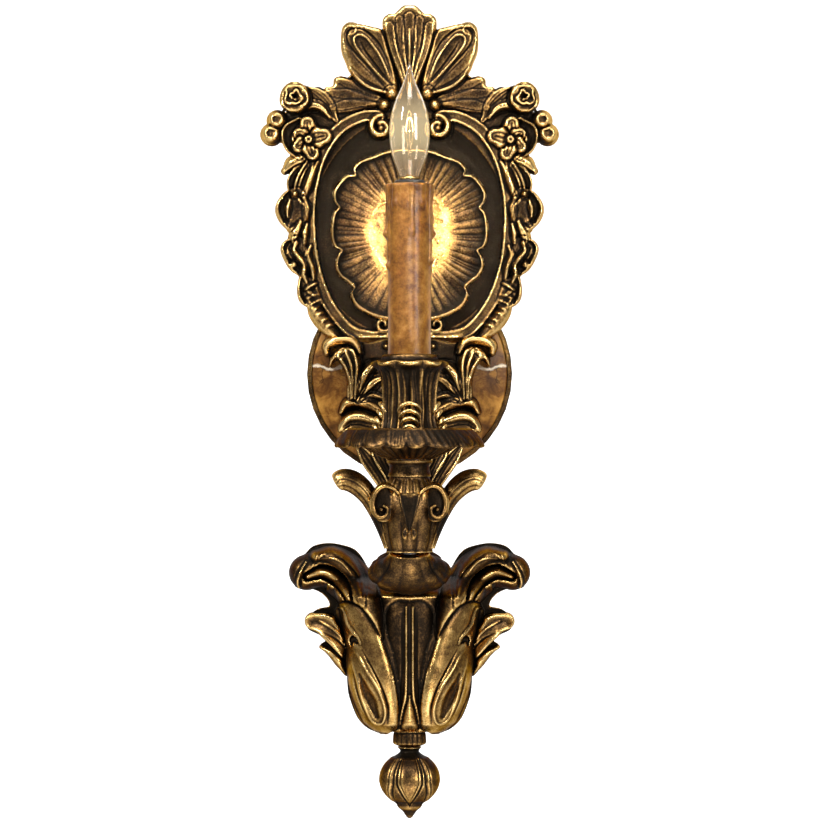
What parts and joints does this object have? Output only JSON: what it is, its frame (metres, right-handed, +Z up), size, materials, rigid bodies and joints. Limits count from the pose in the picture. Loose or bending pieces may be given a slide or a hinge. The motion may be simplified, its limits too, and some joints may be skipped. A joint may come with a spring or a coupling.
{
  "type": "wall sconce",
  "caption": "Cast brass wall sconce with one electric candle, a drip pan, a medallion back plate with flowers, a marble disc and a ball finial.",
  "frame": {"origin": "centre of the mounting strap's back face, on the wall", "axes": "+Z up along the sconce, +Y into the wall, +X to the viewer's right"},
  "size_m": [0.1828, 0.1396, 0.4972],
  "materials": {
    "gilt_brass": "cast, dark patina with rubbed gold edges",
    "aged_brass": "cast, near-black patina with rubbed gold edges",
    "bright_brass": "polished, warm gold",
    "marble": "polished brown marble with pale veins",
    "zinc_steel": "zinc plated",
    "candle_resin": "amber resin with moulded drips, satin",
    "phenolic": "moulded black",
    "card": "plain card",
    "clear_glass": "clear, fire polished",
    "tungsten": "lit filament, warm",
    "wire_black": "insulated wire",
    "wire_white": "insulated wire",
    "wire_green": "insulated wire and green screw",
    "nut_orange": "moulded"
  },
  "bodies": {
    "root": {"mounting_strap": "zinc_steel", "canopy_pan": "gilt_brass", "marble_disc": "marble", "thumb_screw_top": "aged_brass", "thumb_screw_bottom": "aged_brass", "ground_screw": "wire_green", "centre_nipple": "zinc_steel", "nipple_nut": "zinc_steel", "cap_nut": "aged_brass", "spine_bar": "zinc_steel", "cartouche_screw": "zinc_steel", "dish_screw": "zinc_steel", "arm_screw": "zinc_steel", "calyx_screw": "zinc_steel", "cartouche": "gilt_brass", "medallion_dish": "bright_brass", "scroll_bracket": "gilt_brass", "calyx": "gilt_brass", "finial_stud": "zinc_steel", "finial_nut": "zinc_steel", "finial_collar": "gilt_brass", "finial": "gilt_brass", "arm_pipe": "zinc_steel", "arm_casting": "gilt_brass", "urn": "aged_brass", "pan_collar": "aged_brass", "drip_pan": "aged_brass", "candle_cup": "aged_brass", "cup_nut": "zinc_steel", "socket_riser": "zinc_steel", "socket_body": "phenolic", "socket_shell": "bright_brass", "socket_contact": "bright_brass", "paper_liner": "card", "lead_black": "wire_black", "lead_white": "wire_white", "wire_nut_left": "nut_orange", "wire_nut_right": "nut_orange", "wire_bushing": "phenolic", "ground_wire": "wire_green"},
    "bulb_carrier": {"bulb_tip": "zinc_steel"},
    "bulb": {"bulb_glass": "clear_glass", "bulb_stem": "clear_glass", "bulb_filament": "tungsten", "bulb_base": "bright_brass", "bulb_insulator": "phenolic"},
    "sleeve": {"candle_sleeve": "candle_resin"}
  },
  "joints": [
    {"name": "bulb_lift", "type": "slide", "parent": "root", "child": "bulb_carrier", "axis": [0, 0, 1], "range_m": [0, 0.01143]},
    {"name": "bulb_turn", "type": "hinge", "parent": "bulb_carrier", "child": "bulb", "pos_m": [0, -0.095, 0.116], "axis": [0, 0, 1], "range_deg": [0, 1620]},
    {"name": "sleeve_lift", "type": "slide", "parent": "root", "child": "sleeve", "axis": [0, 0, 1], "range_m": [0, 0.015]}
  ],
  "couplings": [
    {"joint": "bulb_lift", "follows": "bulb_turn", "m_per_rad": 0.00040425}
  ]
}
